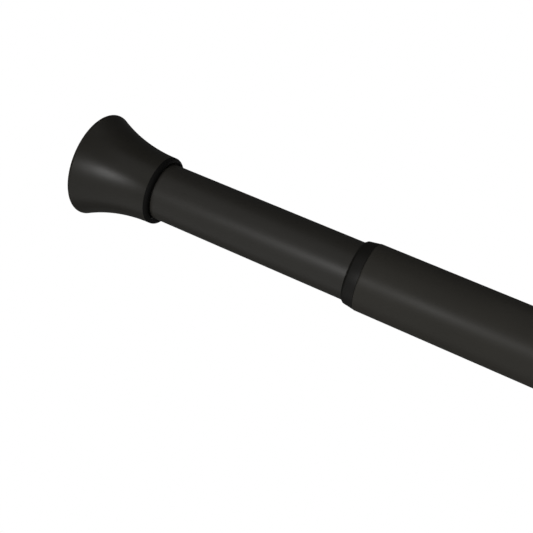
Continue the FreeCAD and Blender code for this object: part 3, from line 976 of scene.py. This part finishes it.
@dataclass(frozen=True)
class Thread:
    """A coarse right-hand thread as a field of radii, in millimetres.

    run_out is the bare core before the thread, and fade the share of a turn in which the ridge
    rises or falls at its ends.
    """

    pitch: float = 10.0
    root: float = 6.0
    crest: float = 7.6
    foot_width: float = 5.0
    crest_width: float = 2.6
    turns: float = 14.6
    run_out: float = 10.0
    fade: float = 0.08

    @property
    def start(self) -> float:
        """Return where the thread starts along the rod."""
        return Span.of("drive_screw").start + SHANK_LENGTH + self.run_out

    def radius(self, place: np.ndarray, angle: np.ndarray, clearance: float = 0.0) -> np.ndarray:
        """Work out the radius of the threaded surface.

        The phase is the way from the thread's start divided by the pitch, less the angle divided
        by a full turn; a whole number lies on the middle of the ridge. The distance from that
        middle sets the height: full inside the crest's width, none outside the foot's, and a
        straight flank between them. The ridge fades where its own turn count passes 0 or the
        last turn.

        Args:
            place: Place of each point along the rod.
            angle: Angle of each point round the rod, from +Z towards -Y.
            clearance: Added all round the ridge, for the nut's groove.

        Returns:
            The radius at each point.
        """
        phase = (place - self.start) / self.pitch - angle / FULL_TURN
        ridge = np.round(phase)
        away = np.abs(phase - ridge) * self.pitch
        foot = self.foot_width / 2 + clearance
        crest = self.crest_width / 2 + clearance
        height = np.clip((foot - away) / (foot - crest), 0, 1)
        travelled = ridge + angle / FULL_TURN
        ends = np.clip(np.minimum(travelled, self.turns - travelled) / self.fade, 0, 1)
        return self.root + clearance + (self.crest - self.root) * height * ends


@dataclass(frozen=True)
class DriveScrew(Part):
    """The drive screw: shank, threaded core, and journal with the groove of its clip."""

    node: str = "drive_screw"
    body: Body = Body.CARRIAGE
    finish: Finish = DRIVE_MOULDING
    thread: Thread = Thread()
    shank_radius: float = 5.0
    shank_rounding: float = 0.8
    core_length: float = 162.0
    core_chamfer: float = 0.2
    core_rings: int = 380
    journal_radius: float = 4.0
    journal_length: float = 5.0
    journal_chamfer: float = 0.8
    groove_inset: float = 1.25
    groove_width: float = 1.0
    groove_radius: float = 3.2
    sectors: int = 90

    def shank(self, core_end: float) -> np.ndarray:
        """Outline the shank from its end on the axis to the shoulder of the core.

        Args:
            core_end: End of the core along the screw, which the shoulder's rounding runs towards.

        Returns:
            An array of (along, out) points.
        """
        return rounded([
            Corner(0.0, 0.0),
            Corner(0.0, self.shank_radius, self.shank_rounding),
            Corner(SHANK_LENGTH, self.shank_radius),
            Corner(SHANK_LENGTH, self.thread.root, EASED),
            Corner(core_end, self.thread.root),
        ])[:-1]

    def journal(self, core_end: float) -> np.ndarray:
        """Outline the journal from the core's chamfer over the clip's groove to the axis.

        Args:
            core_end: End of the core along the screw.

        Returns:
            An array of (along, out) points.
        """
        groove = core_end + self.groove_inset
        groove_end = groove + self.groove_width
        end = core_end + self.journal_length
        return np.array([
            (core_end, self.thread.root - self.core_chamfer),
            (core_end, self.journal_radius),
            (groove, self.journal_radius),
            (groove, self.groove_radius),
            (groove_end, self.groove_radius),
            (groove_end, self.journal_radius),
            (end - self.journal_chamfer, self.journal_radius),
            (end, self.journal_radius - self.journal_chamfer),
            (end, 0.0),
        ])

    def surface(self) -> Surface:
        """Work out the screw as one open stack of rings, the thread a field of radii on the core.

        Returns:
            The surface in place.
        """
        start = Span.of(self.node).start
        core_end = SHANK_LENGTH + self.core_length
        core = np.linspace(SHANK_LENGTH + self.core_chamfer, core_end - self.core_chamfer, self.core_rings)
        return Rings.stacked([
            Rings.turned(self.shank(core_end), self.sectors),
            Rings(core, self.thread.radius(start + core[:, None], around(self.sectors))),
            Rings.turned(self.journal(core_end), self.sectors),
        ], closed=False).surface(start)


@dataclass(frozen=True)
class DriveNut(Part):
    """The drive nut in the inner tube's end: a guide flange, and a body that crimps hold."""

    node: str = "drive_nut"
    body: Body = Body.INNER
    finish: Finish = PLUG_MOULDING
    thread: Thread = Thread()
    flange: float = 2.5
    crimp_groove_width: float = 6.0
    mouth_radius: float = 8.4
    bore_rings: int = 90
    sectors: int = 90

    def outside(self, length: float) -> np.ndarray:
        """Outline the nut from the ring round one mouth of its bore to the ring round the other.

        Args:
            length: Length of the nut.

        Returns:
            An array of (along, out) points.
        """
        flange_radius = tube_radius("outer_tube") - TUBE_WALL - TURN_GAP
        side = tube_radius("inner_tube") - TUBE_WALL - PRESS_GAP
        crimped = side - CRIMP_DEPTH
        groove = self.flange + CRIMP_INSET - self.crimp_groove_width / 2
        groove_end = groove + self.crimp_groove_width
        return rounded([
            Corner(0.0, self.mouth_radius),
            Corner(0.0, flange_radius, FULL),
            Corner(self.flange, flange_radius, FULL),
            Corner(self.flange, side),
            Corner(groove, side, CRISP),
            Corner(groove, crimped, CRISP),
            Corner(groove_end, crimped, CRISP),
            Corner(groove_end, side, CRISP),
            Corner(length, side, FULL),
            Corner(length, self.mouth_radius),
        ])

    def surface(self) -> Surface:
        """Work out the nut as one closed stack of rings, its bore the screw's thread with clearance.

        Returns:
            The surface in place.
        """
        place = Span.of(self.node)
        bore = np.linspace(place.length, 0, self.bore_rings)
        return Rings.stacked([
            Rings.turned(self.outside(place.length), self.sectors),
            Rings(bore, self.thread.radius(place.start + bore[:, None], around(self.sectors), TURN_GAP)),
        ]).surface(place.start)


@dataclass(frozen=True)
class CompressionSpring(Part):
    """The compression spring: round wire, with a closed coil at each end that is ground flat."""

    node: str = "tension_spring"
    body: Body = Body.OUTER
    finish: Finish = SPRING_STEEL
    wire: float = 0.9
    working_coils: int = 5
    coil_gap: float = 0.1
    ground_inset: float = 0.18
    steps: int = 56
    sides: int = 20
    smoothing: int = 5

    def advance(self, turns: np.ndarray, length: float) -> np.ndarray:
        """Work out how far the wire's middle has come along the spring.

        It starts at the ground inset and moves by one closed pitch in the first and last turns
        and by the open pitch in each turn between them.

        Args:
            turns: Turns from the start of the wire.
            length: Length of the spring.

        Returns:
            The place along the spring at each turn.
        """
        closed = 2 * self.wire + self.coil_gap
        open_pitch = (length - 2 * (self.ground_inset + closed)) / self.working_coils
        along = self.ground_inset + closed * np.clip(turns, 0, 1)
        along = along + open_pitch * np.clip(turns - 1, 0, self.working_coils)
        return along + closed * np.clip(turns - 1 - self.working_coils, 0, 1)

    def lean(self, along: np.ndarray, way: np.ndarray) -> np.ndarray:
        """Return the wire's lean at each step: the arctangent of its lead, evened out at each joint."""
        lead = np.pad(np.gradient(along, way), self.smoothing // 2, mode="edge")
        return np.arctan(np.convolve(lead, np.ones(self.smoothing) / self.smoothing, mode="valid"))

    def surface(self) -> Surface:
        """Carry the wire's round section along its path.

        The wire's middle runs round a circle while it moves along, and its section is a circle
        that leans with the lead. Where the wire would pass the spring's end faces it is held to
        them, which is the ground flat.

        Returns:
            The surface in place.
        """
        place = Span.of(self.node)
        coil, coils = place.reach - self.wire, self.working_coils + 2
        turns = np.linspace(0, coils, coils * self.steps + 1)
        turn = turns * FULL_TURN
        along = self.advance(turns, place.length)
        lean = self.lean(along, turn * coil)[:, None]
        rod = np.array([1.0, 0.0, 0.0])
        outward = np.stack([np.zeros_like(turn), -np.sin(turn), np.cos(turn)], axis=1)
        forward = np.stack([np.zeros_like(turn), -np.cos(turn), -np.sin(turn)], axis=1)
        sideways = np.cos(lean) * rod - np.sin(lean) * forward
        middle = (outward * coil + along[:, None] * rod)[:, None]
        angle = around(self.sides)[:, None]
        section = np.cos(angle) * outward[:, None] + np.sin(angle) * sideways[:, None]
        first, last = (np.repeat(end, self.sides, axis=1) for end in (middle[:1], middle[-1:]))
        points = np.concatenate([first, middle + self.wire * section, last])
        points[..., 0] = place.start + np.clip(points[..., 0], 0, place.length)
        return Surface(points.reshape(-1, 3) * MM, ring_faces(*points.shape[:2], closed=False))


# Whole rod


PLAIN_NODES = (
    PlainNode("outer_end_plug", PLUG_MOULDING),
    PlainNode("outer_cap_screw", ZINC),
    PlainNode("outer_screw_washer", ZINC),
    PlainNode("spring_follower", DRIVE_MOULDING),
    PlainNode("cross_pin", ZINC),
    PlainNode("stop_washer", ZINC),
    PlainNode("stop_clip", SPRING_STEEL),
    PlainNode("inner_end_plug", PLUG_MOULDING),
    PlainNode("swivel_bolt", ZINC),
    PlainNode("swivel_washer", ZINC),
)


def rod_parts() -> tuple[Part, ...]:
    """Lay out the parts that stand for CAD nodes: tubes, feet, collar and drive.

    Returns:
        The parts, in the order in which they are built.
    """
    outer, inner = Span.of("outer_tube"), Span.of("inner_tube")
    keys = Span.of("spring_follower").start + SPIGOT_LENGTH + KEY_INSET - outer.start
    return (
        CoatedTube("outer_tube", Body.OUTER, OUTER_COAT, (
            Dimples(CRIMP_INSET, CRIMP_DEPTH, CRIMP_COUNT),
            Dimples(keys, KEY_DEPTH, KEY_COUNT),
        )),
        CoatedTube("inner_tube", Body.INNER, INNER_COAT, (
            Dimples(CRIMP_INSET, CRIMP_DEPTH, CRIMP_COUNT),
            Dimples(inner.length - CRIMP_INSET, CRIMP_DEPTH, CRIMP_COUNT),
        )),
        EndCap(
            "outer_cap", Body.OUTER, CAP_MOULDING, Facing.FORWARD,
            neck=15.0, bore=tube_radius("outer_tube") + PRESS_GAP, hole=1.9, floor_gap=0.0,
        ),
        EndCap(
            "inner_cap", Body.FOOT, CAP_MOULDING, Facing.BACK,
            neck=13.35, bore=tube_radius("inner_tube") + TURN_GAP, hole=2.8, floor_gap=TURN_GAP,
        ),
        WallPad("outer_pad", Body.OUTER, PAD_RUBBER, Facing.FORWARD),
        WallPad("inner_pad", Body.FOOT, PAD_RUBBER, Facing.BACK),
        Collar(),
        DriveScrew(),
        DriveNut(),
        CompressionSpring(),
    )


# Light and camera


@dataclass(frozen=True)
class SoftLight:
    """A rectangular lamp that looks at a point, in metres and watts."""

    name: str
    place: tuple[float, float, float]
    target: tuple[float, float, float]
    size: tuple[float, float]
    power: float

    def build(self) -> None:
        """Make the lamp, its first side along the rod."""
        lamp = bpy.data.lights.new(self.name, "AREA")
        lamp.shape = "RECTANGLE"
        lamp.size, lamp.size_y = self.size
        lamp.energy = self.power
        thing = bpy.data.objects.new(self.name, lamp)
        back = (Vector(self.place) - Vector(self.target)).normalized()
        side = Vector((1, 0, 0))
        side = (side - back * side.dot(back)).normalized()
        axes = Matrix((side, back.cross(side), back)).transposed().to_4x4()
        thing.matrix_world = Matrix.Translation(self.place) @ axes
        bpy.context.scene.collection.objects.link(thing)


LIGHTS = (
    SoftLight("strip", (0.40, 0.66, 0.46), (0.40, 0.0, 0.0), (0.5, 0.10), 0.36),
    SoftLight("strip_middle", (0.44, 0.66, 0.46), (0.44, 0.0, 0.0), (0.16, 0.10), 1.29),
    SoftLight("strip_upper", (0.45, 0.616, 0.517), (0.45, 0.0, 0.0), (0.14, 0.10), 0.79),
    SoftLight("low_side", (0.40, 0.95, -0.50), (0.38, 0.0, 0.0), (1.6, 0.9), 2.72),
    SoftLight("front", (0.40, 1.10, 0.30), (0.38, 0.0, 0.0), (1.6, 0.9), 2.10),
    SoftLight("top", (0.10, 0.10, 1.10), (0.30, 0.0, 0.0), (0.8, 0.9), 0.28),
    SoftLight("top_right", (0.75, 0.10, 1.00), (0.45, 0.0, 0.0), (0.7, 0.9), 1.16),
    SoftLight("back_left", (0.12, -0.42, 0.50), (0.28, 0.0, 0.0), (0.35, 0.5), 0.53),
    SoftLight("back_low", (-0.55, -0.85, -0.80), (0.24, 0.0, 0.0), (1.3, 1.1), 6.0),
)


@dataclass(frozen=True)
class PhotoCamera:
    """The photograph's camera: its place in metres, its directions, and its lens in millimetres."""

    place: tuple[float, float, float] = (0.287, 0.2015, 0.2586)
    right: tuple[float, float, float] = (-0.87128, -0.49077, 0.00263)
    up: tuple[float, float, float] = (0.37843, -0.66841, 0.64032)
    lens: float = 63.86
    sensor: float = 36.0
    nearest: float = 0.01
    furthest: float = 20.0

    def build(self) -> None:
        """Make the camera and look through it."""
        data = bpy.data.cameras.new("photo_camera")
        data.lens = self.lens
        data.sensor_width = self.sensor
        data.clip_start = self.nearest
        data.clip_end = self.furthest
        data.dof.use_dof = False
        camera = bpy.data.objects.new("photo_camera", data)
        right = Vector(self.right).normalized()
        up = Vector(self.up)
        up = (up - right * up.dot(right)).normalized()
        axes = Matrix((right, up, right.cross(up))).transposed().to_4x4()
        camera.matrix_world = Matrix.Translation(self.place) @ axes
        bpy.context.scene.collection.objects.link(camera)
        bpy.context.scene.camera = camera


def white_share(nodes: Nodes) -> bpy.types.NodeSocket:
    """Work out how much of the white a ray sees.

    Rays from the camera and rays that pass through glass see all of it. Rays that mirror off a
    surface see the glossy share: the photographed satin coat mirrors dim surroundings, so its
    edges turn dark where a full white would make them bright.

    Args:
        nodes: The nodes of the world or of a staged material.

    Returns:
        A socket between 0 and 1.
    """
    path = nodes.add("LightPath", {}).outputs
    mirrored = nodes.math("MULTIPLY", path["Is Glossy Ray"], GLOSSY_SHARE)
    clear = nodes.math("MAXIMUM", path["Is Camera Ray"], path["Is Transmission Ray"])
    return nodes.math("MAXIMUM", clear, mirrored)


def show_white(
    nodes: Nodes, plain: bpy.types.NodeSocket, white: bpy.types.NodeSocket, output: bpy.types.Node,
) -> None:
    """Feed an output with a mix of a plain and a white shader, by what each ray should see."""
    mix = nodes.add("MixShader", {"Fac": white_share(nodes), 1: plain, 2: white})
    nodes.feed(output, {"Surface": mix.outputs["Shader"]})


@dataclass(frozen=True)
class Backdrop:
    """A world that the camera sees as white and that lights the rod only dimly."""

    dim: float = 0.008

    def build(self) -> None:
        """Make the world and use it."""
        world = bpy.data.worlds.new("backdrop")
        world.use_nodes = True
        bpy.context.scene.world = world
        nodes = Nodes(world.node_tree)
        plain, output = nodes.tree.nodes["Background"], nodes.tree.nodes["World Output"]
        nodes.feed(plain, {"Color": (self.dim, self.dim, self.dim, 1.0)})
        white = nodes.add("Background", {"Color": (1.0, 1.0, 1.0, 1.0)})
        show_white(nodes, plain.outputs["Background"], white.outputs["Background"], output)


@dataclass(frozen=True)
class PaleFloor:
    """A pale floor well below the rod, in metres, which the camera sees as white."""

    reach: float = 6.0
    level: float = -3.0
    tone: float = 0.8
    roughness: float = 0.9

    def build(self) -> None:
        """Make the floor and give it its material."""
        mesh = bpy.data.meshes.new("pale_floor")
        signs = ((-1, -1), (1, -1), (1, 1), (-1, 1))
        mesh.from_pydata([(x * self.reach, y * self.reach, self.level) for x, y in signs], [], [range(4)])
        floor = bpy.data.objects.new("pale_floor", mesh)
        bpy.context.scene.collection.objects.link(floor)
        mesh.materials.append(self.material())

    def material(self) -> bpy.types.Material:
        """Make the floor's material.

        Returns:
            The new material.
        """
        material = bpy.data.materials.new("pale_floor")
        material.use_nodes = True
        nodes = Nodes(material.node_tree)
        shader, output = nodes.tree.nodes["Principled BSDF"], nodes.tree.nodes["Material Output"]
        tone = (self.tone, self.tone, self.tone, 1.0)
        nodes.feed(shader, {"Base Color": tone, "Roughness": self.roughness})
        white = nodes.add("Emission", {})
        show_white(nodes, shader.outputs["BSDF"], white.outputs["Emission"], output)
        return material


def main() -> None:
    """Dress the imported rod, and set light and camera."""
    logging.basicConfig(level=logging.INFO)
    bpy.context.scene.view_settings.view_transform = "Standard"
    groups = {group.name: group for group in (grain_group(), drift_group())}
    materials = {finish.name: finish.build(groups) for finish in FINISHES}
    for part in (*PLAIN_NODES, *rod_parts()):
        part.build(materials)
    for setting in (Backdrop(), PaleFloor(), *LIGHTS, PhotoCamera()):
        setting.build()


if __name__ == "__main__":
    main()
